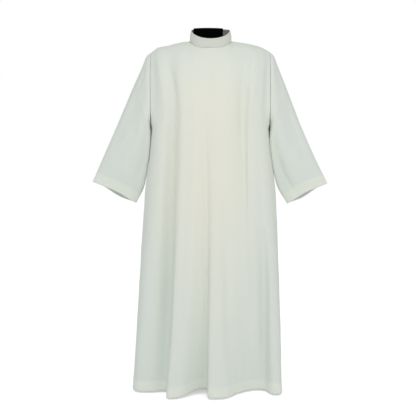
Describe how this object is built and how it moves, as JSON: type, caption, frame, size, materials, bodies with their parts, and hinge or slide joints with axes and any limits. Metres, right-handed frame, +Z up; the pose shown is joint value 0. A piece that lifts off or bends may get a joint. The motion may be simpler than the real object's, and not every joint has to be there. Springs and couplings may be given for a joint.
{
  "type": "alb robe on a limbless dress form",
  "caption": "Long ivory alb with wide straight sleeves and a low stand collar, hanging in soft folds on a black limbless dress form with a round base.",
  "frame": {"origin": "on the floor, at the centre of the underside of the form's round base", "axes": "+Z up, +X to the right of someone who faces the garment's front, and the front towards -Y"},
  "size_m": [1.004, 0.4779, 1.545],
  "materials": {
    "ivory_cloth": "matt plain-woven cloth with a faint sheen",
    "ivory_collar": "double layer of the same matt woven cloth, topstitched",
    "black_cover": "matt black stretch cover",
    "black_steel": "satin black powder coat"
  },
  "bodies": {
    "root": {"front": "ivory_cloth", "back": "ivory_cloth", "sleeve_left": "ivory_cloth", "sleeve_right": "ivory_cloth", "collar": "ivory_collar", "form_torso": "black_cover", "form_neck_block": "black_cover", "form_pole": "black_steel", "form_base": "black_steel"}
  },
  "joints": []
}
